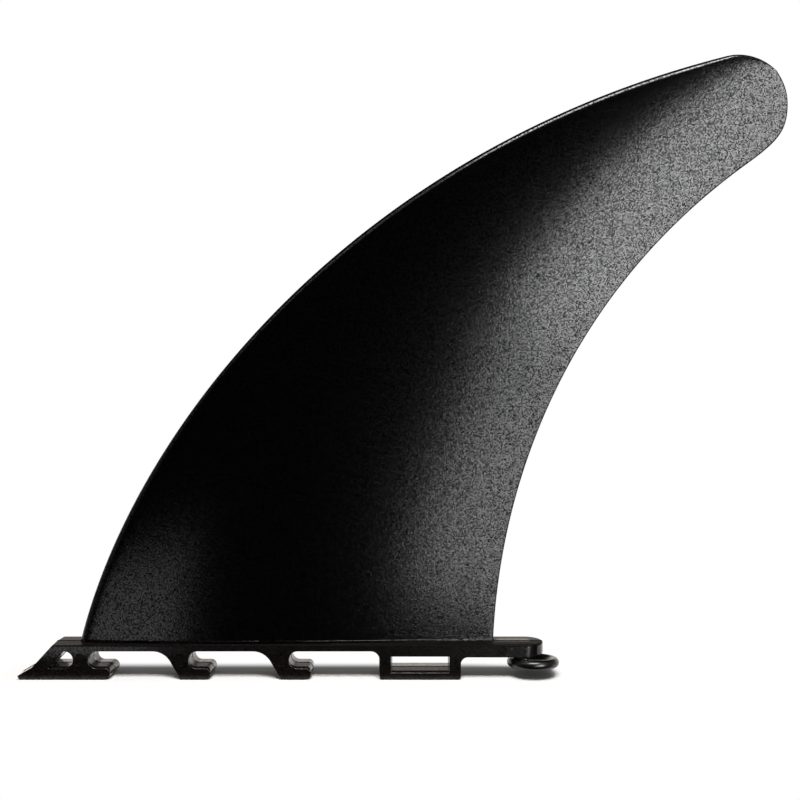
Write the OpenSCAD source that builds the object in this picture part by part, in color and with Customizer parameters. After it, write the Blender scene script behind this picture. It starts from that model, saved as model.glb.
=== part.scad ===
// Surfboard fin with a hooked base, moulded in one piece, and a rubber plug in its tail.
// It stands on the base's feet: X runs from the toe to the tail, Y across, and Z up to the tip.
// Sizes are in millimetres, and places along the base are counted from the toe's tip.

/* [Blade] */
// Height of the blade from the base plate to its tip
blade_depth = 228.6; // [150:0.1:280]
// Length of the blade where it meets the plate
root_chord = 160.7; // [120:0.1:170]
// Distance from the toe's tip to the blade's leading edge at the plate
blade_start = 22.1; // [20:0.1:26]
// Distance from the toe's tip to the centre of the round tip
tip_along = 278.4; // [240:0.1:320]
// Radius of the round tip
tip_r = 19.2; // [12:0.1:26]
// Greatest thickness at the plate
root_thick = 9.5; // [7:0.1:12]
// Greatest thickness near the tip
tip_thick = 2.8; // [2.4:0.1:5]
// Place of the greatest thickness, as a share of the chord
thickest_share = 0.38; // [0.3:0.01:0.5]
// Half thickness of the rounded leading edge at the plate
nose_half = 1.9; // [1.2:0.1:2.5]
// Half thickness of the rounded leading edge near the tip
nose_tip_half = 1.5; // [0.9:0.1:2]
// Half thickness of the trailing edge
edge_half = 0.6; // [0.4:0.05:1]
// Half thickness at the outermost point of the tip
tip_half = 1; // [0.6:0.05:1.3]
// Radius of the fillet between blade and plate
root_fillet = 0.9; // [0.3:0.1:1.5]

/* [Blade outline] */
// Slope of the leading edge where it leaves the plate, in degrees
lead_root_slope = 76.2; // [70:0.1:85]
// Reach of the curve's handle at the plate, along the leading edge
lead_root_pull = 87.7; // [60:0.1:110]
// Slope of the leading edge where it runs into the round tip, in degrees
lead_tip_slope = 14.1; // [8:0.1:22]
// Reach of the curve's handle at the tip, along the leading edge
lead_tip_pull = 148.2; // [120:0.1:170]
// Slope of the trailing edge where it leaves the plate, in degrees
trail_root_slope = 87.5; // [80:0.1:95]
// Reach of the curve's handle at the plate, along the trailing edge
trail_root_pull = 64.9; // [40:0.1:80]
// Slope of the trailing edge at the heel below the tip, in degrees
heel_slope = 35.8; // [30:0.1:45]
// Reach of the curve's handle at the heel, along the trailing edge
heel_pull = 83.9; // [60:0.1:95]
// Distance of the heel behind the centre of the round tip
heel_behind = 3.2; // [0:0.1:6]
// Distance of the heel below the centre of the round tip
heel_below = 23.5; // [20:0.1:30]
// Reach of the handle that bends the heel towards the tip
heel_bend = 15.2; // [10:0.1:18]
// Reach of the handle that bends the tip towards the heel
tip_bend = 10.5; // [6:0.1:14]

/* [Base plate] */
// Width of the base across the blade
base_w = 13; // [12:0.1:18]
// Height of the plate's top above the feet
plate_top = 13.1; // [12.5:0.1:16]
// Thickness of the plate over the hooks
plate_t = 2.1; // [1.8:0.1:3]

/* [Toe] */
// Distance from the toe's tip to the end of the plate's top
toe_slope_len = 13.4; // [12:0.1:16]
// Height of the toe's blunt tip
toe_tip_h = 1.3; // [0.8:0.1:2]
// Length of the bevel under the toe's tip
toe_tip_bevel = 0.9; // [0.3:0.1:1.5]
// Distance from the toe's tip to the change of slope
toe_knee_len = 5.5; // [4:0.1:7]
// Height of the change of slope
toe_knee_h = 4.5; // [3.5:0.1:6]
// Wall between the steep slope and the window in the toe
toe_wall = 4.5; // [3:0.1:5.5]
// Radius of the window's round side
toe_window_r = 3.7; // [2.5:0.1:3.9]
// Web between the window and the first notch
toe_web = 5.5; // [4:0.1:8]

/* [Hooks] */
// Number of hooks, with the toe as the first
hook_count = 3; // [2:1:3]
// Distance from the toe's tip to the centre of the first notch
first_notch = 30.3; // [29:0.1:33]
// Distance from one notch to the next
hook_pitch = 38.5; // [34:0.1:38.9]
// Radius of the notch that closes round a cross bar
notch_r = 3.5; // [2.5:0.05:3.8]
// Reach of the lip behind the notch's centre
lip_reach = 5; // [4:0.1:7]
// Radius on the lip's top corner
lip_top_r = 1.8; // [0.5:0.1:1.8]
// Radius on the lip's bottom corner
lip_low_r = 2.2; // [0.5:0.1:2.2]
// Distance from a notch's centre forward to the foot of the hook's flank
hook_foot = 6.2; // [5:0.1:8]
// Slope of a hook's flank, in degrees
flank_slope = 60; // [50:1:75]
// Radius of the sweep from the plate into a flank
flank_r = 8; // [4:0.1:10]

/* [Frame block] */
// Distance from the toe's tip to the frame block
block_start = 138.9; // [135:0.1:150]
// Length of the frame block
block_len = 30.9; // [24:0.1:34]
// Width of each post beside the window
post_w = 4.1; // [3:0.1:6]
// Thickness of the bar under the window
bar_t = 3.3; // [2.5:0.1:4]
// Thickness of the plate over the window
window_roof = 4.1; // [3.5:0.1:6]
// Radius of the fillet in front of the block
block_front_fillet = 3.5; // [1:0.1:5]
// Radius of the fillet behind the block
block_back_fillet = 2.8; // [1:0.1:4]
// Radius on the block's two bottom corners
block_corner_r = 1; // [0.3:0.1:1.5]

/* [Tail] */
// Length of the tail behind the frame block
tail_len = 31.8; // [30:0.1:36]
// Thickness of the tail
tail_t = 4.4; // [3:0.1:5]

/* [Tail plug] */
// Radius of the round rim's centre line
rim_r = 8.2; // [7.9:0.1:9.5]
// Radius of the round rim's section
rim_tube_r = 1.9; // [1.2:0.05:2]
// Height of the rim's centre above the feet
rim_h = 5.1; // [4.9:0.1:5.5]
// Distance of the rim's centre behind the centre of the tail's round end
rim_behind = 3.2; // [0:0.1:4]
// Tilt of the head about the fin's length, with its near side up, in degrees
rim_tilt = 6; // [0:0.5:7]
// Thickness of the web inside the rim
web_t = 1; // [0.8:0.1:2]
// Width of the strip that shows on top of the tail
strip_w = 4.8; // [4.6:0.1:7]
// Length of the strip
strip_len = 13.8; // [11:0.1:14]
// Height of the strip above the tail
strip_t = 0.5; // [0.3:0.05:1]
// Width of the stem through the tail
stem_w = 4; // [3:0.1:4.5]
// Width of the neck between the tail and the web
neck_w = 5; // [4.6:0.1:6]
// Length of the neck
neck_len = 8; // [6.2:0.1:9]
// Clearance between the stem and its slot, on each side
stem_gap = 0.1; // [0.05:0.05:0.3]

/* [Moulding marks] */
// Distance from the toe's tip to the mark on the toe
toe_mark_along = 7.3; // [6.5:0.1:8]
// Height of the mark on the toe
toe_mark_h = 2.5; // [2.2:0.1:2.8]
// Distance of the marks on the hooks' webs ahead of the notches' centres
web_mark_ahead = 6.4; // [5.8:0.1:6.6]
// Height of the marks on the block's posts
post_mark_h = 6.3; // [2:0.1:8]
// Distance of the tail's mark ahead of the centre of its round end
tail_mark_ahead = 9.3; // [9.2:0.1:16]
// Radius of the round marks on the hooks' webs
web_mark_r = 2.2; // [1.5:0.1:2.4]
// Radius of the round marks on the toe and the tail
end_mark_r = 1.6; // [1:0.1:1.8]
// Radius of the round marks on the block's posts
post_mark_r = 0.8; // [0.5:0.1:1.2]
// Depth of the marks
mark_depth = 0.2; // [0.1:0.05:0.4]

/* [Hidden] */
$fn = 96;

fin_colour = "#222226";
plug_colour = "#101013";

// The origin is under the middle of the whole fin, at the level of the feet
whole_len = tip_along + tip_r;
origin_along = whole_len / 2;

// Heights and places that follow from the sizes above
plate_under = plate_top - plate_t;
tail_under = plate_top - tail_t;
notch_z = plate_under - notch_r;
lip_top = notch_z - notch_r;
block_end = block_start + block_len;
tail_r = base_w / 2;
tail_centre = block_end + tail_len - tail_r;
rim_along = tail_centre + rim_behind;
window_top = plate_top - window_roof;

// A small overlap joins pieces of one solid, and a cut runs past the faces it opens
sink = 1;
past = 1;

// The blade's curves, as control points in the plane of symmetry

// A direction in the plane of symmetry, from its slope
function heading(slope) = [cos(slope), sin(slope)];

// A point on a cubic curve at share t of its run
function on_curve(p, t) = pow(1 - t, 3) * p[0]
    + 3 * pow(1 - t, 2) * t * p[1]
    + 3 * (1 - t) * pow(t, 2) * p[2]
    + pow(t, 3) * p[3];

tip_centre = [tip_along, plate_top + blade_depth - tip_r];

// A point on the round tip, by its angle above the horizontal
function on_tip(angle) = tip_centre + tip_r * heading(angle);

lead_root = [blade_start, plate_top];
lead_end_angle = 90 + lead_tip_slope;
lead_end = on_tip(lead_end_angle);
lead_curve = [
    lead_root,
    lead_root + lead_root_pull * heading(lead_root_slope),
    lead_end - lead_tip_pull * heading(lead_tip_slope),
    lead_end
];

trail_root = [blade_start + root_chord, plate_top];
heel = tip_centre + [heel_behind, -heel_below];
trail_curve = [
    trail_root,
    trail_root + trail_root_pull * heading(trail_root_slope),
    heel - heel_pull * heading(heel_slope),
    heel
];
rearmost = on_tip(0);
heel_curve = [
    heel,
    heel + heel_bend * heading(heel_slope),
    rearmost - tip_bend * heading(90),
    rearmost
];

// The blade is a row of foil sections. Both edges run from the plate (span 0) to a point
// on the round tip (span 1), and each section joins the two edges at one span.
heel_span = 0.86;
round_span = 0.93;
lead_share_at_heel = 0.97;
meeting_angle = 40;

function share(from, to, value) = (value - from) / (to - from);
function mix(from, to, part) = from + (to - from) * part;

function lead_at(span) =
    span < heel_span ? on_curve(lead_curve, lead_share_at_heel * span / heel_span)
    : span < round_span ? on_curve(lead_curve, mix(lead_share_at_heel, 1, share(heel_span, round_span, span)))
    : on_tip(mix(lead_end_angle, meeting_angle, share(round_span, 1, span)));

function trail_at(span) =
    span < heel_span ? on_curve(trail_curve, span / heel_span)
    : span < round_span ? on_curve(heel_curve, share(heel_span, round_span, span))
    : on_tip(mix(0, meeting_angle, share(round_span, 1, span)));

// Half thicknesses of the two edges and of the thickest place, along the span
function nose_at(span) = span < heel_span
    ? mix(nose_half, nose_tip_half, span / heel_span)
    : mix(nose_tip_half, tip_half, share(heel_span, 1, span));
function edge_at(span) = span < heel_span
    ? edge_half
    : mix(edge_half, tip_half, share(heel_span, 1, span));
function thickest_at(span) = mix(root_thick, tip_thick, span) / 2;

// The section swells like half a sine wave whose crest is at the thickest place
crest_power = ln(0.5) / ln(thickest_share);
function swell(part) = sin(180 * pow(part, crest_power));

// A quarter round at an edge: 0 on the edge, 1 once the edge radius is passed
function rounding(distance, radius) = sqrt(1 - pow(1 - min(distance / radius, 1), 2));

// Half thickness of the section at a share of its chord
function half_at(span, part, chord) =
    let (nose = nose_at(span), edge = edge_at(span))
    let (plain = mix(nose, edge, part), crest = mix(nose, edge, thickest_share))
    let (nose_reach = min(nose, 0.45 * chord), edge_reach = min(edge, 0.45 * chord))
    rounding(part * chord, nose_reach) * rounding((1 - part) * chord, edge_reach)
    * (plain + max(0, thickest_at(span) - crest) * swell(part));

// Steps along a section: some round the nose, some over the face, some round the edge
round_steps = 3;
face_steps = 9;
side_steps = 2 * round_steps + face_steps;
round_step = 90 / round_steps;
function part_at(span, step, chord) =
    let (nose_part = min(nose_at(span) / chord, 0.45), edge_part = min(edge_at(span) / chord, 0.45))
    step <= round_steps ? nose_part * (1 - cos(step * round_step))
    : step < round_steps + face_steps
        ? mix(nose_part, 1 - edge_part, (step - round_steps) / face_steps)
    : 1 - edge_part * (1 - cos((side_steps - step) * round_step));

// The outline of one section, up one side from the nose and back along the other
function section(span) =
    let (lead = lead_at(span), trail = trail_at(span), chord = norm(trail - lead))
    [for (k = [0 : 2 * side_steps - 1])
        let (side = k <= side_steps ? 1 : -1, step = k <= side_steps ? k : 2 * side_steps - k)
        let (part = part_at(span, step, chord), at = mix(lead, trail, part))
        [at[0], side * half_at(span, part, chord), at[1]]];

// How far the root fillet stands out at a height above the plate
function flare(height) = height >= root_fillet
    ? 0
    : root_fillet - sqrt(pow(root_fillet, 2) - pow(root_fillet - max(height, 0), 2));

// The section's points, moved outwards by the fillet
function flared(ring) = [for (k = [0 : len(ring) - 1])
    let (before = ring[(k + len(ring) - 1) % len(ring)], after = ring[(k + 1) % len(ring)])
    let (run = [after[0] - before[0], after[1] - before[1]], size = norm(run))
    let (out = flare(ring[k][2] - plate_top))
    ring[k] + out * [-run[1] / size, run[0] / size, 0]];

// Spans of the sections: close together in the fillet, then even, then closer at the tip
fillet_spans = [for (z = [0, 0.15, 0.4, 1]) z * root_fillet * heel_span / (3 * trail_root_pull)];
main_sections = 42;
heel_sections = 7;
round_sections = 9;
last_round = 0.97;
spans = concat(
    fillet_spans,
    [for (k = [1 : main_sections]) heel_span * k / main_sections],
    [for (k = [1 : heel_sections]) mix(heel_span, round_span, k / heel_sections)],
    [for (k = [1 : round_sections]) mix(round_span, 1, last_round * k / round_sections)]
);

module blade() {
    ring_size = 2 * side_steps;
    rings = [for (span = spans) flared(section(span))];
    buried = [for (p = rings[0]) [p[0], p[1], p[2] - sink]];
    points = [for (ring = concat([buried], rings)) each ring];
    last = len(rings) * ring_size;
    sides = [for (row = [0 : len(rings) - 1], k = [0 : ring_size - 1])
        let (a = row * ring_size + k, b = row * ring_size + (k + 1) % ring_size)
        each [[a, b, b + ring_size], [a, b + ring_size, a + ring_size]]];
    function cap(first) = [for (k = [0 : side_steps - 1])
        let (a = first + k, b = first + k + 1)
        let (c = first + (ring_size - k - 1) % ring_size, d = first + (ring_size - k) % ring_size)
        each k == 0 ? [[a, c, b]] : k == side_steps - 1 ? [[a, d, b]] : [[a, d, c], [a, c, b]]];
    function reversed(faces) = [for (f = faces) [f[2], f[1], f[0]]];
    polyhedron(points, concat(sides, cap(0), reversed(cap(last))));
}

// Draws a side view's outline through the whole width of the base
module across(width) {
    rotate([90, 0, 0])
        linear_extrude(width, center = true)
            children();
}

// The corner outside a round of the given radius, running a little past both its sides.
// It fills the corner between two faces, and as a cut it rounds one.
module corner(r) {
    difference() {
        square(r + past);
        circle(r);
    }
}

// The lip behind a notch, in side view, with its two free corners rounded
module lip() {
    difference() {
        translate([-sink, 0])
            square([sink + lip_reach, lip_top]);
        translate([lip_reach - lip_top_r, lip_top - lip_top_r])
            corner(lip_top_r);
        translate([lip_reach - lip_low_r, lip_low_r])
            rotate(270)
                corner(lip_low_r);
    }
}

// The notch that a cross bar slides into from behind
module notch() {
    circle(notch_r);
    translate([0, -notch_r])
        square([lip_reach + past, 2 * notch_r]);
}

// A hook under the plate, drawn round its notch's centre line: a flank, a web and a lip
module hook() {
    drop = plate_under;
    arc_end = [flank_r * sin(flank_slope), drop - flank_r * (1 - cos(flank_slope))];
    foot_from_sweep = arc_end[0] + arc_end[1] / tan(flank_slope);
    sweep_start = -hook_foot - foot_from_sweep;
    difference() {
        union() {
            difference() {
                polygon([
                    [sweep_start, drop + sink],
                    [sweep_start, drop],
                    [sweep_start + arc_end[0], arc_end[1]],
                    [-hook_foot, 0],
                    [0, 0],
                    [0, drop + sink]
                ]);
                translate([sweep_start, drop - flank_r])
                    circle(flank_r);
            }
            lip();
        }
        translate([0, notch_z])
            notch();
    }
}

// The toe is the first hook: its flank is a ramp in two slopes, with a window behind it
module toe() {
    ramp = [toe_slope_len - toe_knee_len, plate_top - toe_knee_h];
    ramp_slope = atan2(ramp[1], ramp[0]);
    window_along = first_notch - notch_r - toe_web - toe_window_r;
    window_z = plate_under - toe_window_r;
    difference() {
        union() {
            polygon([
                [toe_tip_bevel, 0],
                [0, toe_tip_h],
                [toe_knee_len, toe_knee_h],
                [toe_slope_len, plate_top],
                [first_notch, plate_top],
                [first_notch, 0]
            ]);
            translate([first_notch, 0])
                lip();
        }
        translate([first_notch, notch_z])
            notch();
        intersection() {
            union() {
                translate([window_along, window_z])
                    circle(toe_window_r);
                translate([0, lip_top])
                    square([window_along, plate_under - lip_top]);
            }
            translate([0, lip_top])
                square([first_notch, plate_under]);
            translate([toe_knee_len, toe_knee_h])
                rotate(ramp_slope)
                    translate([-first_notch, -2 * first_notch - toe_wall])
                        square([2 * first_notch, 2 * first_notch]);
        }
    }
}

// The block with the oblong window, which fills the gap between the hooks and the tail
module frame_block() {
    difference() {
        translate([block_start, 0])
            square([block_len, plate_top]);
        translate([block_start + post_w, bar_t])
            square([block_len - 2 * post_w, window_top - bar_t]);
        translate([block_start + block_corner_r, block_corner_r])
            rotate(180)
                corner(block_corner_r);
        translate([block_end - block_corner_r, block_corner_r])
            rotate(270)
                corner(block_corner_r);
    }
    translate([block_start - block_front_fillet, plate_under - block_front_fillet])
        corner(block_front_fillet);
    translate([block_end + block_back_fillet, tail_under - block_back_fillet])
        mirror([1, 0])
            corner(block_back_fillet);
}

// An oblong with round ends, from one end's centre back to the other
module oblong(width, length) {
    circle(d = width);
    translate([width - length, -width / 2])
        square([length - width, width]);
    translate([width - length, 0])
        circle(d = width);
}

// The tail is a plate with a round end and the plug's slot
module tail() {
    slot_w = stem_w + 2 * stem_gap;
    slot_len = strip_len - strip_w + slot_w;
    translate([0, 0, tail_under])
        difference() {
            union() {
                translate([tail_centre, 0])
                    linear_extrude(tail_t)
                        circle(tail_r);
                translate([block_end - sink, -base_w / 2])
                    linear_extrude(tail_t)
                        square([tail_centre - block_end + sink, base_w]);
            }
            translate([tail_centre, 0, -past])
                linear_extrude(tail_t + 2 * past)
                    oblong(slot_w, slot_len);
        }
}

// A shallow round mark on the side of the base that faces the viewer
module mark(along, height, r) {
    translate([along, mark_depth - base_w / 2, height])
        rotate([90, 0, 0])
            cylinder(h = mark_depth + past, r = r);
}

module marks() {
    mark(toe_mark_along, toe_mark_h, end_mark_r);
    for (k = [0 : hook_count - 1])
        mark(first_notch + k * hook_pitch - web_mark_ahead, notch_z, web_mark_r);
    mark(block_start + post_w / 2, post_mark_h, post_mark_r);
    mark(block_end - post_w / 2, post_mark_h, post_mark_r);
    mark(tail_centre - tail_mark_ahead, tail_under + tail_t / 2, end_mark_r);
}

// Everything below the blade, as one solid
module base() {
    difference() {
        union() {
            across(base_w) {
                toe();
                translate([first_notch - sink, plate_under])
                    square([block_start - first_notch + 2 * sink, plate_t]);
                for (k = [1 : hook_count - 1])
                    translate([first_notch + k * hook_pitch, 0])
                        hook();
                frame_block();
            }
            tail();
        }
        marks();
    }
}

// Moves what is counted from the toe's tip into the fin's own frame
module in_frame() {
    translate([-origin_along, 0, 0])
        children();
}

module fin() {
    color(fin_colour)
        in_frame() {
            base();
            blade();
        }
}

// The plug: a strip on top, a stem in the slot, a neck below and a head with a fat round rim
module tail_plug() {
    color(plug_colour)
        in_frame() {
            translate([tail_centre, 0, plate_top])
                linear_extrude(strip_t)
                    oblong(strip_w, strip_len);
            translate([tail_centre, 0, tail_under])
                linear_extrude(tail_t + strip_t / 2)
                    oblong(stem_w, strip_len - strip_w + stem_w);
            translate([tail_centre, 0, rim_h])
                linear_extrude(tail_under - rim_h)
                    oblong(neck_w, neck_len);
            // A core joins the neck and the stem
            translate([tail_centre, 0, rim_h])
                linear_extrude(plate_top - rim_h)
                    oblong(stem_w, neck_len - neck_w + stem_w);
            translate([rim_along, 0, rim_h])
                rotate([-rim_tilt, 0, 0]) {
                    translate([0, 0, -web_t / 2])
                        cylinder(h = web_t, r = rim_r);
                    rotate_extrude()
                        translate([rim_r, 0])
                            circle(rim_tube_r);
                }
        }
}

fin();
tail_plug();
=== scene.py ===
"""Looks of a surfboard fin: a grained foil blade on a satin moulded base, with a glossy rubber plug.

Every size of the part is in millimetres, counted along the base from the toe's tip as on the
real part, and the meshes are turned into metres in the fin's own frame when they are made. The
floor, the lamps and the camera are placed in that frame, in metres.
"""

import bpy
import numpy as np
from mathutils.geometry import tessellate_polygon
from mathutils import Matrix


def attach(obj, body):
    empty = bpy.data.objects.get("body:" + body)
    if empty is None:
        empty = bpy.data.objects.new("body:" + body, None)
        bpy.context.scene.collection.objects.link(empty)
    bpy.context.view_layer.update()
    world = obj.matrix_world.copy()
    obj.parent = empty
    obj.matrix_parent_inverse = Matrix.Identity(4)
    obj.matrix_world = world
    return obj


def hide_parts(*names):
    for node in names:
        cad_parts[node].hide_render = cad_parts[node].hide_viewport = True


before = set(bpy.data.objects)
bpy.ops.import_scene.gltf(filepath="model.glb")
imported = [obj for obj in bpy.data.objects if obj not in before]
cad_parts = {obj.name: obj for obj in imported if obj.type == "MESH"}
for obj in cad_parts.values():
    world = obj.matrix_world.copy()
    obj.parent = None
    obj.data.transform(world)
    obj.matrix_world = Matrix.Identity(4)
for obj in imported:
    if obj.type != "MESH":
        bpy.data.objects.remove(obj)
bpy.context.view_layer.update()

MM = 0.001

# Blade outline: slopes in degrees, pulls are the reach of a curve's handles
BLADE_DEPTH = 228.6
ROOT_CHORD = 160.7
BLADE_START = 22.1
TIP_ALONG = 278.4
TIP_R = 19.2
LEAD_ROOT_SLOPE = 76.2
LEAD_ROOT_PULL = 87.7
LEAD_TIP_SLOPE = 14.1
LEAD_TIP_PULL = 148.2
TRAIL_ROOT_SLOPE = 87.5
TRAIL_ROOT_PULL = 64.9
HEEL_SLOPE = 35.8
HEEL_PULL = 83.9
HEEL_BEHIND = 3.2
HEEL_BELOW = 23.5
HEEL_BEND = 15.2
TIP_BEND = 10.5
MEETING_ANGLE = 40.0

# Shares of the blade's span where the heel and the round tip begin
HEEL_SPAN = 0.86
ROUND_SPAN = 0.93
LEAD_SHARE_AT_HEEL = 0.97
LAST_SHARE_OF_TIP = 0.99

# Foil: the round of either edge takes MOST_ROUND of the chord at most
ROOT_THICK = 9.5
TIP_THICK = 2.8
THICKEST_SHARE = 0.38
NOSE_HALF = 1.9
NOSE_TIP_HALF = 1.5
NOSE_STRETCH = 1.5
EDGE_HALF = 0.6
TIP_HALF = 1.0
MOST_ROUND = 0.45
ROOT_BAND_H = 1.25
ROOT_BAND_T = 0.24
BLADE_SINK = 0.8

# Base in side view
BASE_W = 13.0
PLATE_TOP = 13.1
PLATE_UNDER = 11.0
TOE_TIP_BEVEL = 0.9
TOE_TIP_H = 1.3
TOE_TIP_R = 0.15
TOE_KNEE = (5.5, 4.5)
TOE_SLOPE_LEN = 13.4
TOE_WALL = 4.5
TOE_WEB = 5.5
TOE_WINDOW_R = 3.7
TOE_WINDOW_TOP_SHARE = 0.95
TOE_WINDOW_SILL_SHARE = 0.85
TOE_WINDOW_HIGH_R = 0.5
WINDOW_CORNER_R = 0.3
NOTCHES = [30.3, 68.8, 107.3]
NOTCH_R = 3.5
LIP_REACH = 5.0
LIP_TOP_R = 1.8
LIP_LOW_R = 2.2
HOOK_FOOT = 6.2
FLANK_SLOPE = 60.0
FLANK_R = 8.0
BLOCK_START = 138.9
BLOCK_END = 169.8
POST_W = 4.1
BAR_EDGE = 2.4
WINDOW_TOP = 9.0
BLOCK_FRONT_FILLET = 3.5
BLOCK_BACK_FILLET = 2.8
BLOCK_CORNER_R = 1.0
TAIL_END = 201.6
TAIL_UNDER = 8.7

# Plug
RIM_R = 8.2
RIM_TUBE_R = 1.9
RIM_H = 5.1
RIM_BEHIND = 3.2
RIM_TILT = 6.0
WEB_T = 1.0
WEB_SAG = 1.0
WEB_FLAT_R = 0.6
STRIP_W = 4.8
STRIP_LEN = 13.8
STRIP_T = 0.35
STRIP_ROUND = 0.18
NECK_W = 5.0
NECK_LEN = 8.0
NECK_WAIST = 0.9
NECK_FULLNESS = 0.8
PLUG_SINK = 0.3

# Mould details
EDGE_ROUND = 0.15
CORNER_ROUND = 0.3
LEAST_R = 0.02
DRAFT = 0.035
CROWN_H = 0.6
CROWN_W = 1.5
RIDGE_H = 0.12
RIDGE_HALF = 0.16

# Round marks
TOE_MARK = (7.3, 2.5, 1.6)
WEB_MARK_AHEAD = 6.4
WEB_MARK_R = 2.3
POST_MARK_H = 6.3
POST_MARK_R = 0.8
TAIL_MARK_AHEAD = 9.3
TAIL_MARK_R = 1.7
MARK_DEPTH = 0.2
MARK_RIM = 0.12
MARK_BREAK_IN = 0.4
MARK_BREAK_DOWN = 0.3

# Counts of steps, and small bounds of the meshes
NOSE_STEPS = 8
FACE_STEPS = 56
BAND_STEPS = 7
LOW_SPANS = 201
LOW_SPANS_IN_BAND = 3
HEEL_SPANS = 25
TIP_SPANS = 33
ACROSS_STEPS = 61
CORNER_STEPS = 10
END_STEPS = 24
MARK_STEPS = 40
STRIP_STEPS = 6
NECK_STEPS = 9
TUBE_STEPS = 33
RIM_STEPS = 128
SHARP_TURN = 35
HAIR = 0.001
LEAST_AREA = 1e-9

# Places that follow
ORIGIN_ALONG = (TIP_ALONG + TIP_R) / 2
NOTCH_Z = PLATE_UNDER - NOTCH_R
LIP_TOP = NOTCH_Z - NOTCH_R
TAIL_R = BASE_W / 2
TAIL_CENTRE = TAIL_END - TAIL_R
HALF_W = BASE_W / 2
TIP_CENTRE = np.array([TIP_ALONG, PLATE_TOP + BLADE_DEPTH - TIP_R])
LEAD_END_ANGLE = 90 + LEAD_TIP_SLOPE


def mesh_piece(name, points, faces, material, slot, node, flat_from=None):
    """A closed mesh from millimetre points, set down in the fin's frame and tied to the root body, while its
    node's CAD part is hidden.

    Faces from the given number on are flat ones: the edges that part them from the round ones
    are sharp, as are all edges that turn by more than SHARP_TURN degrees.
    """
    mesh = bpy.data.meshes.new(name)
    placed = (np.asarray(points, float) - [ORIGIN_ALONG, 0, 0]) * MM
    mesh.from_pydata(placed, [], faces)
    mesh.update()
    mesh.shade_smooth()
    mesh.set_sharp_from_angle(angle=np.radians(SHARP_TURN))
    if flat_from is not None:
        edge_of_corner = np.empty(len(mesh.loops), int)
        mesh.loops.foreach_get("edge_index", edge_of_corner)
        corners = np.empty(len(mesh.polygons), int)
        mesh.polygons.foreach_get("loop_total", corners)
        flat = np.repeat(np.arange(len(corners)) >= flat_from, corners)
        sharp = np.empty(len(mesh.edges), bool)
        mesh.attributes["sharp_edge"].data.foreach_get("value", sharp)
        sharp |= np.bincount(edge_of_corner[flat], minlength=len(mesh.edges)) == 1
        mesh.attributes["sharp_edge"].data.foreach_set("value", sharp)
    mesh.materials.append(material)
    piece = bpy.data.objects.new(name, mesh)
    bpy.context.scene.collection.objects.link(piece)
    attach(piece, "root")
    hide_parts(node)


def grid_faces(rows, size, first=0):
    """Quads between neighbouring closed rings of a stack, each ring of the given size."""
    row, column = np.meshgrid(np.arange(rows - 1), np.arange(size), indexing="ij")
    a = first + row * size + column
    b = first + row * size + (column + 1) % size
    return np.stack([a, b, b + size, a + size], -1).reshape(-1, 4).tolist()


def share(start, end, value):
    """How far a value is on its way from start to end, from 0 to 1."""
    return np.clip((value - start) / (end - start), 0, 1)


# The blade

def heading(slope):
    """A direction in the plane of symmetry, from its slope in degrees."""
    angle = np.radians(slope)
    return np.stack([np.cos(angle), np.sin(angle)], -1)


def on_curve(p, t):
    """A point on a cubic curve with four control points, at share t of its run."""
    t = np.asarray(t, float)[:, None]
    return (1 - t) ** 3 * p[0] + 3 * (1 - t) ** 2 * t * p[1] + 3 * (1 - t) * t ** 2 * p[2] + t ** 3 * p[3]


def on_tip(angle):
    """A point on the round tip, by its angle above the horizontal."""
    return TIP_CENTRE + TIP_R * heading(angle)


def edge_curves():
    """Control points of the leading edge, the trailing edge and the heel below the tip."""
    lead_root = np.array([BLADE_START, PLATE_TOP])
    lead_end = on_tip(LEAD_END_ANGLE)
    lead = [lead_root, lead_root + LEAD_ROOT_PULL * heading(LEAD_ROOT_SLOPE),
            lead_end - LEAD_TIP_PULL * heading(LEAD_TIP_SLOPE), lead_end]
    trail_root = lead_root + [ROOT_CHORD, 0]
    heel = TIP_CENTRE + [HEEL_BEHIND, -HEEL_BELOW]
    trail = [trail_root, trail_root + TRAIL_ROOT_PULL * heading(TRAIL_ROOT_SLOPE),
             heel - HEEL_PULL * heading(HEEL_SLOPE), heel]
    rearmost = on_tip(0)
    under_tip = [heel, heel + HEEL_BEND * heading(HEEL_SLOPE), rearmost - [0, TIP_BEND], rearmost]
    return lead, trail, under_tip


def edges_at(span):
    """Leading and trailing edge at each span: two curves up to the heel, then round the tip."""
    lead, trail, under_tip = edge_curves()
    low = share(0, HEEL_SPAN, span)
    mid = share(HEEL_SPAN, ROUND_SPAN, span)
    top = share(ROUND_SPAN, 1, span)
    lead_share = LEAD_SHARE_AT_HEEL * low + (1 - LEAD_SHARE_AT_HEEL) * mid
    past_round = (span > ROUND_SPAN)[:, None]
    past_heel = (span > HEEL_SPAN)[:, None]
    front = np.where(past_round, on_tip(LEAD_END_ANGLE + (MEETING_ANGLE - LEAD_END_ANGLE) * top),
                     on_curve(lead, lead_share))
    back = np.where(past_heel, on_curve(under_tip, mid), on_curve(trail, low))
    back = np.where(past_round, on_tip(MEETING_ANGLE * top), back)
    return front, back


def rounding(distance, radius):
    """A quarter round: 0 on the edge itself, 1 once the radius is passed."""
    return np.sqrt(1 - (1 - np.clip(distance / radius, 0, 1)) ** 2)


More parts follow.
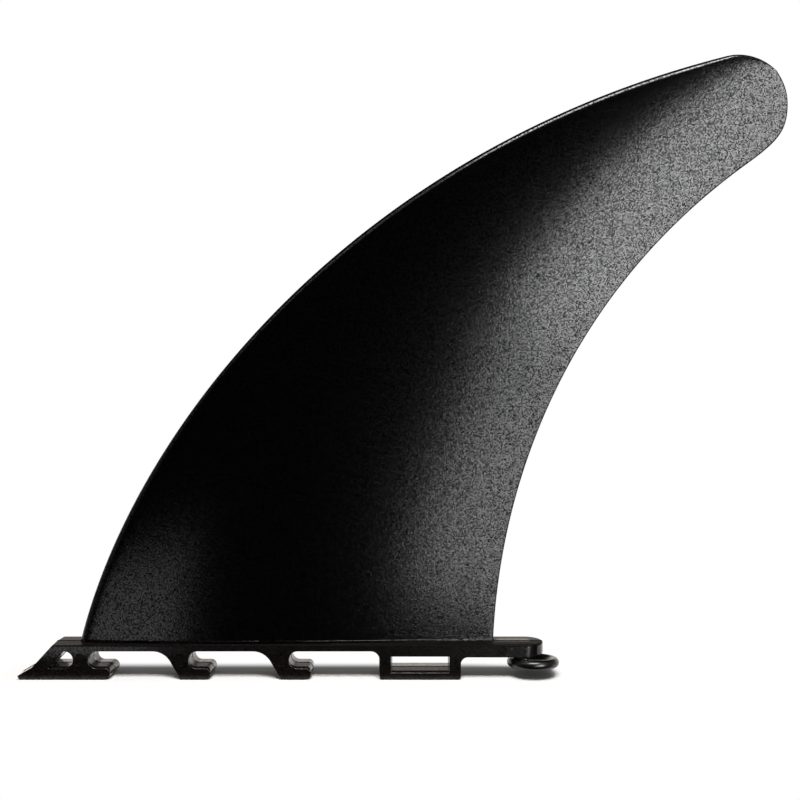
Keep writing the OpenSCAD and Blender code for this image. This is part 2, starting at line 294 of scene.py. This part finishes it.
def foil_sections(span):
    """Closed foil sections, one ring per span.

    The half thickness runs from the nose's to the trailing edge's. To that comes a swelling that
    follows half a sine wave with its crest at the thickest place, and all of it is multiplied by
    a quarter round at either edge.
    """
    front, back = edges_at(span)
    chord = np.linalg.norm(back - front, axis=1)[:, None]
    low = share(0, HEEL_SPAN, span)[:, None]
    high = share(HEEL_SPAN, 1, span)[:, None]
    nose = NOSE_HALF + (NOSE_TIP_HALF - NOSE_HALF) * low + (TIP_HALF - NOSE_TIP_HALF) * high
    edge = EDGE_HALF + (TIP_HALF - EDGE_HALF) * high
    thickest = (ROOT_THICK + (TIP_THICK - ROOT_THICK) * span[:, None]) / 2
    nose_reach = np.minimum(NOSE_STRETCH * nose, MOST_ROUND * chord)
    edge_reach = np.minimum(edge, MOST_ROUND * chord)
    turn = 1 - np.cos(np.linspace(0, np.pi / 2, NOSE_STEPS + 1))[None, :]
    face = np.linspace(0, 1, FACE_STEPS + 1)[None, 1:-1]
    first = nose_reach / chord * turn
    last = 1 - edge_reach / chord * turn[:, ::-1]
    middle = first[:, -1:] + (last[:, :1] - first[:, -1:]) * face
    part = np.concatenate([first, middle, last], 1)
    crest = nose + (edge - nose) * THICKEST_SHARE
    swell = np.sin(np.pi * part ** (np.log(0.5) / np.log(THICKEST_SHARE)))
    half = nose + (edge - nose) * part + np.maximum(0, thickest - crest) * swell
    half = half * rounding(part * chord, nose_reach) * rounding((1 - part) * chord, edge_reach)
    at = front[:, None, :] + (back - front)[:, None, :] * part[:, :, None]
    side = np.stack([at[..., 0], half, at[..., 1]], -1)
    other = side[:, -2:0:-1] * [1, -1, 1]
    return np.concatenate([side, other], 1)


def with_root_band(rings):
    """Moves the rings near the plate outwards, as a smooth low band with a quarter-round top."""
    run = np.roll(rings, -1, 1)[..., :2] - np.roll(rings, 1, 1)[..., :2]
    run /= np.linalg.norm(run, axis=-1, keepdims=True)
    under_top = np.clip(ROOT_BAND_H - (rings[..., 2] - PLATE_TOP), 0, ROOT_BAND_T)
    out = np.sqrt(ROOT_BAND_T ** 2 - (ROOT_BAND_T - under_top) ** 2)
    moved = rings.copy()
    moved[..., 0] -= out * run[..., 1]
    moved[..., 1] += out * run[..., 0]
    return moved


def blade_mesh():
    """The blade as a stack of foil sections, closed at the root and at the tip.

    Near the root heights are turned into spans by the speed of the trailing edge's curve there.
    """
    rise = 3 * TRAIL_ROOT_PULL / HEEL_SPAN
    curl = ROOT_BAND_T * np.sin(np.linspace(0, np.pi / 2, BAND_STEPS))
    foot = np.concatenate([[0], ROOT_BAND_H - ROOT_BAND_T + curl]) / rise
    tip = LAST_SHARE_OF_TIP * np.sin(np.linspace(0, np.pi / 2, TIP_SPANS)[1:])
    span = np.concatenate([
        foot,
        np.linspace(0, HEEL_SPAN, LOW_SPANS)[LOW_SPANS_IN_BAND:],
        np.linspace(HEEL_SPAN, ROUND_SPAN, HEEL_SPANS)[1:],
        ROUND_SPAN + (1 - ROUND_SPAN) * tip,
    ])
    rings = with_root_band(foil_sections(span))
    buried = rings[:1] - [0, 0, BLADE_SINK]
    rings = np.concatenate([buried, rings])
    rows, size = rings.shape[:2]
    faces = grid_faces(rows, size)
    first = list(range(size))[::-1]
    last = [(rows - 1) * size + k for k in range(size)]
    return rings.reshape(-1, 3), faces + [first, last]


# The base

def rounded_outline(corners, inset, steps=CORNER_STEPS):
    """Points of a closed outline given as corners (x, z, radius), moved inwards by an inset.

    Each edge moves in by the inset. A corner that points out loses it from its radius, and a
    corner that points in gains it, so a round stays a true arc.
    """
    corner = np.asarray(corners, float)
    place, radius = corner[:, :2], corner[:, 2]
    after = np.roll(place, -1, 0) - place
    after /= np.linalg.norm(after, axis=1, keepdims=True)
    before = np.roll(after, 1, 0)
    left_before = np.stack([-before[:, 1], before[:, 0]], 1)
    left_after = np.stack([-after[:, 1], after[:, 0]], 1)
    square_up = 1 + (left_before * left_after).sum(1, keepdims=True)
    place = place + inset * (left_before + left_after) / square_up
    turn = np.arctan2(before[:, 0] * after[:, 1] - before[:, 1] * after[:, 0], (before * after).sum(1))
    way = np.sign(turn)
    radius = np.maximum(radius - way * inset, LEAST_R)
    reach = radius * np.tan(np.abs(turn) / 2)
    centre = place - before * reach[:, None] + left_before * (way * radius)[:, None]
    swing = turn[:, None] * np.linspace(0, 1, steps)[None, :]
    spoke = -left_before * (way * radius)[:, None]
    x = centre[:, :1] + spoke[:, :1] * np.cos(swing) - spoke[:, 1:] * np.sin(swing)
    z = centre[:, 1:] + spoke[:, :1] * np.sin(swing) + spoke[:, 1:] * np.cos(swing)
    return np.stack([x, z], -1).reshape(-1, 2)


def base_corners(lift, sole):
    """The side view of the base, anticlockwise from under the toe, as corners with radii.

    The lift raises the tops of the lips and narrows the notches by as much. The sole is the
    level of the feet.
    """
    rise = PLATE_UNDER / np.tan(np.radians(FLANK_SLOPE))
    corners = [(TOE_TIP_BEVEL, sole, TOE_TIP_R)]
    for k, notch in enumerate(NOTCHES):
        if k:
            corners += [
                (notch - HOOK_FOOT - rise, PLATE_UNDER, FLANK_R),
                (notch - HOOK_FOOT, sole, CORNER_ROUND),
            ]
        corners += [
            (notch + LIP_REACH, sole, LIP_LOW_R),
            (notch + LIP_REACH, LIP_TOP + lift, LIP_TOP_R),
            (notch - NOTCH_R, LIP_TOP + lift, NOTCH_R - lift / 2),
            (notch - NOTCH_R, PLATE_UNDER, NOTCH_R - lift / 2),
        ]
    corners += [
        (BLOCK_START, PLATE_UNDER, BLOCK_FRONT_FILLET),
        (BLOCK_START, sole, BLOCK_CORNER_R),
        (BLOCK_END, sole, BLOCK_CORNER_R),
        (BLOCK_END, TAIL_UNDER, BLOCK_BACK_FILLET),
        (TAIL_END, TAIL_UNDER, CORNER_ROUND),
        (TAIL_END, PLATE_TOP, CORNER_ROUND),
        (TOE_SLOPE_LEN, PLATE_TOP, CORNER_ROUND),
        (*TOE_KNEE, CORNER_ROUND),
        (0, TOE_TIP_H, TOE_TIP_R),
    ]
    return corners


def window_corners(lift):
    """The toe's slanted window and the block's oblong one, both clockwise, with lifted sills."""
    ramp = np.array([TOE_SLOPE_LEN, PLATE_TOP]) - TOE_KNEE
    ramp /= np.linalg.norm(ramp)
    inner = np.array(TOE_KNEE) + TOE_WALL * np.array([ramp[1], -ramp[0]])
    low = inner + ramp * (LIP_TOP + lift - inner[1]) / ramp[1]
    high = inner + ramp * (PLATE_UNDER - inner[1]) / ramp[1]
    side = NOTCHES[0] - NOTCH_R - TOE_WEB
    toe = [
        (low[0], LIP_TOP + lift, WINDOW_CORNER_R),
        (high[0], PLATE_UNDER, TOE_WINDOW_HIGH_R),
        (side, PLATE_UNDER, TOE_WINDOW_R * TOE_WINDOW_TOP_SHARE - lift / 2),
        (side, LIP_TOP + lift, TOE_WINDOW_R * TOE_WINDOW_SILL_SHARE - lift / 2),
    ]
    block = [
        (BLOCK_START + POST_W, BAR_EDGE + lift, WINDOW_CORNER_R),
        (BLOCK_START + POST_W, WINDOW_TOP, WINDOW_CORNER_R),
        (BLOCK_END - POST_W, WINDOW_TOP, WINDOW_CORNER_R),
        (BLOCK_END - POST_W, BAR_EDGE + lift, WINDOW_CORNER_R),
    ]
    return [toe, block]


def mark_places():
    """Centre and radius of each round mark on the viewer's side of the base."""
    webs = [(notch - WEB_MARK_AHEAD, NOTCH_Z, WEB_MARK_R) for notch in NOTCHES]
    posts = [BLOCK_START + POST_W / 2, BLOCK_END - POST_W / 2]
    tail = (TAIL_CENTRE - TAIL_MARK_AHEAD, (TAIL_UNDER + PLATE_TOP) / 2, TAIL_MARK_R)
    return [TOE_MARK, *webs, *[(post, POST_MARK_H, POST_MARK_R) for post in posts], tail]


def stations():
    """Places across the base, with the inset of its outline and the lift of its lips at each.

    The inset is nothing at the faces. Inwards it falls by a quarter round, by the draft and, at
    the middle, by a low ridge where the two halves of the mould met. The lift is full in the
    middle and falls by the square of the way over the outer part.
    """
    swing = np.radians(np.linspace(-90, 90, ACROSS_STEPS))
    ridge = RIDGE_HALF * np.array([-1, -0.5, 0.5, 1])
    across = np.unique(np.round(np.concatenate([HALF_W * np.sin(swing), ridge]), 4))
    over = np.clip(np.abs(across) - (HALF_W - EDGE_ROUND), 0, EDGE_ROUND)
    inset = -np.sqrt(EDGE_ROUND ** 2 - over ** 2)
    inset += DRAFT * (np.abs(across) - HALF_W)
    inset -= RIDGE_H * np.clip(2 - 2 * np.abs(across) / RIDGE_HALF, 0, 1)
    outer = np.clip(np.abs(across) - (HALF_W - CROWN_W), 0, CROWN_W) / CROWN_W
    return across, inset, CROWN_H * (1 - outer ** 2)


def base_mesh():
    """The base: its outline carried across its width, with rounded edges and open windows.

    Behind the centre of the tail's round end the outline is drawn in by the cosine of the
    swing, which makes the end a half circle seen from above. Its feet stay level.
    """
    across, inset, lift = stations()
    draw_in = np.sqrt(np.clip(1 - (across / TAIL_R) ** 2, 0, 1))
    points, faces = [], []
    front_loops, back_loops = [], []
    count = 0
    shapes = [[base_corners(up, -d)] + window_corners(up) for up, d in zip(lift, inset)]
    for outlines in zip(*shapes):
        rings = []
        for y, d, k, corners in zip(across, inset, draw_in, outlines):
            ring = rounded_outline(corners, d)
            behind = np.maximum(ring[:, 0] - TAIL_CENTRE, 0)
            rings.append(np.stack([ring[:, 0] - behind * (1 - k), np.full(len(ring), y), ring[:, 1]], 1))
        rings = np.array(rings)
        rows, size = rings.shape[:2]
        faces += [f[::-1] for f in grid_faces(rows, size, count)]
        front_loops.append(list(range(count, count + size)))
        back_loops.append(list(range(count + (rows - 1) * size, count + rows * size)))
        points.append(rings.reshape(-1, 3))
        count += rows * size
    points = np.concatenate(points)
    mark_points, mark_faces, mark_loops = sunk_marks(points[front_loops[0][0], 1], count)
    points = np.concatenate([points, mark_points])
    faces += mark_faces
    flat_from = len(faces)
    faces += filled(points, front_loops + mark_loops, False)
    faces += filled(points, back_loops, True)
    return points, faces, flat_from


def sunk_marks(face_y, first):
    """Shallow round recesses with a soft rim, each a stack of circles closed by its floor."""
    turn = np.linspace(0, 2 * np.pi, MARK_STEPS, endpoint=False)
    steps_down = [(0, 0), (MARK_BREAK_IN * MARK_RIM, MARK_BREAK_DOWN * MARK_DEPTH), (MARK_RIM, MARK_DEPTH)]
    points, faces, loops = [], [], []
    for x, z, radius in mark_places():
        for inwards, depth in steps_down:
            r = radius - inwards
            level = np.full(MARK_STEPS, face_y + depth)
            points.append(np.stack([x + r * np.cos(turn), level, z + r * np.sin(turn)], 1))
        faces += grid_faces(len(steps_down), MARK_STEPS, first)
        faces.append([first + 2 * MARK_STEPS + k for k in range(MARK_STEPS)])
        loops.append([first + k for k in range(MARK_STEPS)])
        first += len(steps_down) * MARK_STEPS
    return np.concatenate(points), faces, loops


def filled(points, loops, flip):
    """Triangles of a flat face with holes, given as its outer loop and the loops of the holes."""
    flat = [k for loop in loops for k in loop]
    outlines = [[(points[k, 0], points[k, 2], 0) for k in loop] for loop in loops]
    faces = []
    for a, b, c in tessellate_polygon(outlines):
        p, q, r = points[flat[a]], points[flat[b]], points[flat[c]]
        area = (q[0] - p[0]) * (r[2] - p[2]) - (q[2] - p[2]) * (r[0] - p[0])
        if abs(area) < LEAST_AREA:
            continue
        order = (a, b, c) if (area > 0) != flip else (c, b, a)
        faces.append([flat[k] for k in order])
    return faces


# The plug

def oblong(length, width, inset):
    """An oblong with round ends seen from above, its rear end centred as the tail's round end is."""
    half = width / 2
    back = TAIL_CENTRE + half
    front = back - length
    corners = [(x, y, half - HAIR) for x, y in [(front, -half), (back, -half), (back, half), (front, half)]]
    return rounded_outline(corners, inset, END_STEPS)


def stacked(outlines, heights, first=0):
    """A closed solid from level outlines of equal count, one above the other."""
    rings = [np.column_stack([o, np.full(len(o), h)]) for o, h in zip(outlines, heights)]
    size = len(rings[0])
    faces = grid_faces(len(rings), size, first)
    faces.append([first + k for k in range(size)][::-1])
    faces.append([first + (len(rings) - 1) * size + k for k in range(size)])
    return np.concatenate(rings), faces


def plug_mesh():
    """The strip on the tail, the neck under it, and the dished head, tilted with its near side up."""
    swing = np.linspace(0, np.pi / 2, STRIP_STEPS)
    inset = np.concatenate([[0, 0], STRIP_ROUND * (1 - np.cos(swing))])
    top_edge = STRIP_T - STRIP_ROUND + STRIP_ROUND * np.sin(swing)
    height = np.concatenate([[-PLUG_SINK, 0], top_edge]) + PLATE_TOP
    strip, strip_faces = stacked([oblong(STRIP_LEN, STRIP_W, d) for d in inset], height)

    up = np.linspace(0, 1, NECK_STEPS)
    height = RIM_H + (TAIL_UNDER + PLUG_SINK - RIM_H) * up
    waist = NECK_WAIST * np.sin(np.pi * up) ** NECK_FULLNESS
    neck, neck_faces = stacked([oblong(NECK_LEN, NECK_W, d) for d in waist], height, len(strip))

    lean = np.arcsin(WEB_T / 2 / RIM_TUBE_R)
    tube = np.linspace(-np.pi + lean, np.pi - lean, TUBE_STEPS)
    radius = np.concatenate([[WEB_FLAT_R], RIM_R + RIM_TUBE_R * np.cos(tube), [WEB_FLAT_R]])
    level = np.concatenate([[-WEB_T / 2 - WEB_SAG], RIM_TUBE_R * np.sin(tube), [WEB_T / 2 - WEB_SAG]])
    turn = np.linspace(0, 2 * np.pi, RIM_STEPS, endpoint=False)
    centre = TAIL_CENTRE + RIM_BEHIND
    rings = [np.column_stack([centre + r * np.cos(turn), r * np.sin(turn)]) for r in radius]
    head, head_faces = stacked(rings, level, len(strip) + len(neck))
    tilt = np.radians(-RIM_TILT)
    y, z = head[:, 1].copy(), head[:, 2].copy()
    head[:, 1] = y * np.cos(tilt) - z * np.sin(tilt)
    head[:, 2] = y * np.sin(tilt) + z * np.cos(tilt) + RIM_H
    return np.concatenate([strip, neck, head]), strip_faces + neck_faces + head_faces


# Finishes

class NodeTree:
    """Shorthands for the nodes of one tree. A node is given values or other nodes' outputs."""

    def __init__(self, tree):
        self.nodes = tree.nodes
        self.links = tree.links

    def feed(self, node, inputs):
        """Sets or links a node's inputs, by their names or numbers."""
        for key, given in inputs.items():
            if isinstance(given, bpy.types.NodeSocket):
                self.links.new(given, node.inputs[key])
            else:
                node.inputs[key].default_value = given

    def math(self, operation, *inputs):
        """The outcome of a math node."""
        node = self.nodes.new("ShaderNodeMath")
        node.operation = operation
        self.feed(node, dict(enumerate(inputs)))
        return node.outputs["Value"]

    def vector(self, operation, *inputs):
        """The outcome of a vector math node: a number for a length, else a vector."""
        node = self.nodes.new("ShaderNodeVectorMath")
        node.operation = operation
        self.feed(node, dict(enumerate(inputs)))
        return node.outputs["Value" if operation == "LENGTH" else "Vector"]

    def ramp(self, value, start, end, least=0.0, most=1.0, kind="SMOOTHSTEP"):
        """A number that goes from least to most while the value goes from start to end."""
        node = self.nodes.new("ShaderNodeMapRange")
        node.interpolation_type = kind
        self.feed(node, {"Value": value, "From Min": start, "From Max": end, "To Min": least, "To Max": most})
        return node.outputs["Result"]

    def mix(self, factor, a, b, kind="FLOAT"):
        """What lies between a and b, by the factor."""
        node = self.nodes.new("ShaderNodeMix")
        node.data_type = kind
        self.feed(node, {"Factor": factor, "A": a, "B": b})
        return node.outputs["Result"]

    def parts(self, vector):
        """The outputs X, Y and Z of a vector."""
        node = self.nodes.new("ShaderNodeSeparateXYZ")
        self.feed(node, {"Vector": vector})
        return node.outputs

    def place(self, space="Object"):
        """Coordinates in the space given."""
        return self.nodes.new("ShaderNodeTexCoord").outputs[space]

    def cloud(self, scale, detail):
        """Soft noise in the object's own space."""
        node = self.nodes.new("ShaderNodeTexNoise")
        self.feed(node, {"Vector": self.place(), "Scale": scale, "Detail": detail})
        return node.outputs["Fac"]


# The skin's slow wave, and the detail of its clouds
WAVE_SCALE = 60.0
CLOUD_DETAIL = 2.0
# How far in from the side faces and below the plate's top the faces of the cores begin
CORE_MARGIN = 0.4
SUNK_MARGIN = 0.1
# The coat on the cores' faces between the flecks and what the flecks add, and what is lost
# behind the side faces
CORE_COAT = 0.6
CORE_FLECK = 0.5
SUNK_LOSS = 0.75
ROUGHNESS_SWING = 0.05


def node_group(name, inputs, outputs):
    """A node group with sockets for numbers, with its tree, what it is given and its output node."""
    group = bpy.data.node_groups.new(name, "ShaderNodeTree")
    for socket in inputs:
        group.interface.new_socket(socket, in_out="INPUT", socket_type="NodeSocketFloat")
    for socket in outputs:
        group.interface.new_socket(socket, in_out="OUTPUT", socket_type="NodeSocketFloat")
    tree = NodeTree(group)
    return group, tree, group.nodes.new("NodeGroupInput").outputs, group.nodes.new("NodeGroupOutput")


def moulded_skin_group():
    """A moulded skin: the height of its fine pebbles, a fleck value per tiny cell, and a slow wave."""
    inputs = ("Pebble Scale", "Fleck Scale", "Wave Depth")
    group, tree, given, made = node_group("moulded_skin", inputs, ("Height", "Fleck", "Wear"))
    pebbles = tree.cloud(given["Pebble Scale"], CLOUD_DETAIL)
    wave = tree.cloud(WAVE_SCALE, CLOUD_DETAIL)
    height = tree.math("ADD", pebbles, tree.math("MULTIPLY", wave, given["Wave Depth"]))
    scale = tree.nodes.new("ShaderNodeCombineXYZ")
    tree.feed(scale, {axis: given["Fleck Scale"] for axis in "XYZ"})
    cell = tree.vector("FLOOR", tree.vector("MULTIPLY", tree.place(), scale.outputs["Vector"]))
    random = tree.nodes.new("ShaderNodeTexWhiteNoise")
    tree.feed(random, {"Vector": cell})
    tree.feed(made, {"Height": height, "Fleck": random.outputs["Value"], "Wear": wave})
    return group


def core_face_group():
    """Masks that are 1 on all but the plate's top, off the side faces, and on the core's faces."""
    group, tree, _, made = node_group("core_faces", (), ("Below Top", "Sunk", "Core"))
    place = tree.parts(tree.place())
    beside = tree.math("ABSOLUTE", place["Y"])
    inner = tree.math("LESS_THAN", beside, (HALF_W - CORE_MARGIN) * MM)
    low = tree.math("LESS_THAN", place["Z"], (PLATE_TOP - CORE_MARGIN) * MM)
    sunk = tree.math("LESS_THAN", beside, (HALF_W - SUNK_MARGIN) * MM)
    tree.feed(made, {"Below Top": low, "Sunk": sunk, "Core": tree.math("MULTIPLY", inner, low)})
    return group


SKIN = moulded_skin_group()
CORE = core_face_group()


def with_group(tree, group):
    """A node that holds the group."""
    node = tree.nodes.new("ShaderNodeGroup")
    node.node_tree = group
    return node


def black_finish(name, dark, fleck, roughness, ior, coat, scales, bump, cores=False):
    """A black moulded finish whose gloss is a thin coat, broken up by the skin's flecks.

    The coat is given as its IOR, its roughness, and its weight between and on the flecks. With
    cores, that weight is near full on the faces of the mould's cores, nothing on the plate's top
    and low elsewhere behind the side faces.
    """
    material = bpy.data.materials.new(name)
    material.use_nodes = True
    tree = NodeTree(material.node_tree)
    coat_ior, coat_roughness, least, most = coat
    skin = with_group(tree, SKIN)
    tree.feed(skin, dict(zip(("Pebble Scale", "Fleck Scale", "Wave Depth"), scales)))
    flecks = skin.outputs["Fleck"]
    weight = tree.math("MULTIPLY_ADD", flecks, most - least, least)
    if cores:
        core = with_group(tree, CORE).outputs
        cored = tree.math("MULTIPLY", tree.math("MULTIPLY_ADD", flecks, CORE_FLECK, CORE_COAT), core["Core"])
        kept = tree.math("MULTIPLY_ADD", core["Sunk"], -SUNK_LOSS, 1.0)
        weight = tree.math("MULTIPLY", tree.math("MULTIPLY", weight, core["Below Top"]), kept)
        weight = tree.math("MAXIMUM", weight, cored)
    low, high = roughness - ROUGHNESS_SWING, roughness + ROUGHNESS_SWING
    relief = tree.nodes.new("ShaderNodeBump")
    tree.feed(relief, {"Strength": 1.0, "Distance": bump, "Height": skin.outputs["Height"]})
    tree.feed(tree.nodes["Principled BSDF"], {
        "Base Color": tree.mix(flecks, (*dark, 1), (*fleck, 1), "RGBA"),
        "Roughness": tree.ramp(skin.outputs["Wear"], 0.0, 1.0, low, high, "LINEAR"),
        "IOR": ior,
        "Normal": relief.outputs["Normal"],
        "Coat Weight": weight,
        "Coat Roughness": coat_roughness,
        "Coat IOR": coat_ior,
        "Coat Normal": relief.outputs["Normal"],
    })
    return material


grained = black_finish(
    "grained_black",
    dark=(0.0002, 0.0002, 0.0002),
    fleck=(0.0008, 0.0008, 0.0009),
    roughness=0.2,
    ior=1.06,
    coat=(1.5, 0.14, 0.0, 1.0),
    scales=(1700, 2300, 0.2),
    bump=0.00002,
)
satin = black_finish(
    "satin_black",
    dark=(0.002, 0.002, 0.0024),
    fleck=(0.012, 0.009, 0.0078),
    roughness=0.3,
    ior=1.12,
    coat=(1.5, 0.12, 0.2, 0.9),
    scales=(1300, 2000, 0.8),
    bump=0.00003,
    cores=True,
)
rubber = black_finish(
    "glossy_rubber",
    dark=(0.002, 0.002, 0.0022),
    fleck=(0.002, 0.002, 0.0022),
    roughness=0.26,
    ior=1.45,
    coat=(1.3, 0.12, 0.2, 0.4),
    scales=(500, 900, 0.3),
    bump=0.00001,
)

mesh_piece("blade", *blade_mesh(), grained, "fin_plastic", "fin")
points, faces, flat_from = base_mesh()
mesh_piece("hooked_base", points, faces, satin, "fin_plastic", "fin", flat_from)
mesh_piece("rubber_plug", *plug_mesh(), rubber, "plug_rubber", "tail_plug")


# Stage, light and camera, in metres

FLOOR_HALF_W = 0.6
FLOOR_NEAR = -0.04
FLOOR_FAR = 0.6
FEET_CENTRE = (-0.048, 0.002, 0.0)
FEET_HALF = (0.104, 0.0065, 1.0)
FADE_REACH = 0.009
FLOOR_TINT = (0.95, 0.93, 0.91, 1)
FLOOR_ROUGHNESS = 0.9
NEAR_GLOW = 0.01
GLOSS_FROM_Y = -0.012
GLOSS_FULL_Y = -0.006

ROOM_FILL = 0.15
ROOM_WARMTH = (1, 0.93, 0.86, 1)
# The room in gloss, by the parts of a direction: where each begins and is full, its least, its most
BACKDROP_BY_Y = (0.0, 0.7, 0.01, 1.0)
BACKDROP_BY_Z = (0.2, 0.45, 1.1, 0.04)
SIDES_BY_X = (0.55, 0.95, 0.0, 0.25)
UNDER_BY_Z = (-0.45, -0.75, 0.0, 1.5)
CEILING_BY_Z = (0.45, 0.65, 0.0, 1.1)
CEILING_BY_Y = (-0.1, -0.3, 0.0, 1.0)

# Each lamp's name, place, turn in degrees, size, power, and whether it shows in gloss only
LAMPS = [
    ("top_light", (0.05, -0.5, 1.0), (26.6, 0, 0), (0.6, 0.4), 14, False),
    ("right_window", (1.01, -1.5, 0.38), (90, 31, 0), (1.0, 1.05), 36, True),
    ("right_sill", (0.708, -1.5, -0.22), (90, 20, 0), (1.0, 0.505), 9.6, True),
    ("left_paper", (-0.82, -1.5, -0.4), (90, 0, 0), (0.6, 0.5), 1.25, True),
]

CAMERA_PLACE = (0.0024, -0.3815, 0.1149)
CAMERA_NEAR = 0.01
LENS = 44.04
SENSOR_W = 36.0
SHIFT = (-0.015, -0.025)


def in_scene(name, data):
    """A new object in the scene."""
    made = bpy.data.objects.new(name, data)
    bpy.context.scene.collection.objects.link(made)
    return made


def stage_floor():
    """A pale floor that keeps the contact shadow and turns plain white away from the fin.

    The share of white grows with the distance from an oblong round the feet. In gloss only the
    floor beside and behind the fin is white.
    """
    mesh = bpy.data.meshes.new("floor")
    near = [(-FLOOR_HALF_W, FLOOR_NEAR, 0), (FLOOR_HALF_W, FLOOR_NEAR, 0)]
    far = [(FLOOR_HALF_W, FLOOR_FAR, 0), (-FLOOR_HALF_W, FLOOR_FAR, 0)]
    mesh.from_pydata(near + far, [], [(0, 1, 2, 3)])
    floor = in_scene("floor", mesh)
    material = bpy.data.materials.new("pale_floor")
    material.use_nodes = True
    tree = NodeTree(material.node_tree)
    place = tree.place()
    beside = tree.vector("ABSOLUTE", tree.vector("SUBTRACT", place, FEET_CENTRE))
    past = tree.vector("SUBTRACT", beside, FEET_HALF)
    away = tree.vector("LENGTH", tree.vector("MAXIMUM", past, (0, 0, 0)))
    fade = tree.ramp(away, 0.0, FADE_REACH)
    white = tree.math("MULTIPLY_ADD", fade, 1 - NEAR_GLOW, NEAR_GLOW)
    path = tree.nodes.new("ShaderNodeLightPath").outputs
    behind = tree.ramp(tree.parts(place)["Y"], GLOSS_FROM_Y, GLOSS_FULL_Y, kind="LINEAR")
    mirrored = tree.math("MULTIPLY", path["Is Glossy Ray"], behind)
    seen = tree.math("MAXIMUM", path["Is Camera Ray"], path["Is Transmission Ray"])
    tree.feed(tree.nodes["Principled BSDF"], {
        "Base Color": tree.mix(fade, FLOOR_TINT, (0, 0, 0, 1), "RGBA"),
        "Roughness": FLOOR_ROUGHNESS,
        "Specular IOR Level": 0.0,
        "Emission Color": (1, 1, 1, 1),
        "Emission Strength": tree.math("MULTIPLY", tree.math("MAXIMUM", seen, mirrored), white),
    })
    mesh.materials.append(material)


def soft_lamp(name, place, turn, size, power, gloss_only):
    """A flat soft lamp, turned by three angles in degrees from facing down.

    One for gloss shows in reflections and lights nothing else.
    """
    light = bpy.data.lights.new(name, "AREA")
    light.shape = "RECTANGLE"
    light.size, light.size_y = size
    light.energy = power
    lamp = in_scene(name, light)
    lamp.location = place
    lamp.rotation_euler = np.radians(turn)
    lamp.visible_diffuse = not gloss_only


def white_world():
    """White to the camera; to gloss, a dark room with a low warm pale backdrop behind the fin.

    In gloss the room's sides are dim as well, the floor far below is pale, and so is the part of
    the ceiling in front.
    """
    world = bpy.data.worlds.new("studio")
    bpy.context.scene.world = world
    world.use_nodes = True
    tree = NodeTree(world.node_tree)
    path = tree.nodes.new("ShaderNodeLightPath").outputs
    way = tree.parts(tree.place("Generated"))
    backdrop = tree.math("MULTIPLY", tree.ramp(way["Y"], *BACKDROP_BY_Y), tree.ramp(way["Z"], *BACKDROP_BY_Z))
    sides = tree.ramp(tree.math("ABSOLUTE", way["X"]), *SIDES_BY_X)
    under = tree.ramp(way["Z"], *UNDER_BY_Z)
    ceiling = tree.math("MULTIPLY", tree.ramp(way["Z"], *CEILING_BY_Z), tree.ramp(way["Y"], *CEILING_BY_Y))
    room = tree.math("MAXIMUM", backdrop, tree.math("MAXIMUM", sides, under))
    room = tree.math("MAXIMUM", room, ceiling)
    fill = tree.mix(path["Is Glossy Ray"], ROOM_FILL, room)
    straight = tree.math("MAXIMUM", path["Is Camera Ray"], path["Is Transmission Ray"])
    tree.feed(tree.nodes["Background"], {
        "Color": tree.mix(path["Is Glossy Ray"], (1, 1, 1, 1), ROOM_WARMTH, "RGBA"),
        "Strength": tree.mix(straight, fill, 1.0),
    })


def photo_camera():
    """A level camera in front of the fin, where the photograph was taken from."""
    data = bpy.data.cameras.new("camera")
    data.lens = LENS
    data.sensor_width = SENSOR_W
    data.shift_x, data.shift_y = SHIFT
    data.clip_start = CAMERA_NEAR
    camera = in_scene("camera", data)
    camera.location = CAMERA_PLACE
    camera.rotation_euler = (np.pi / 2, 0, 0)
    bpy.context.scene.camera = camera


stage_floor()
white_world()
for lamp_facts in LAMPS:
    soft_lamp(*lamp_facts)
photo_camera()
bpy.context.scene.view_settings.view_transform = "Standard"
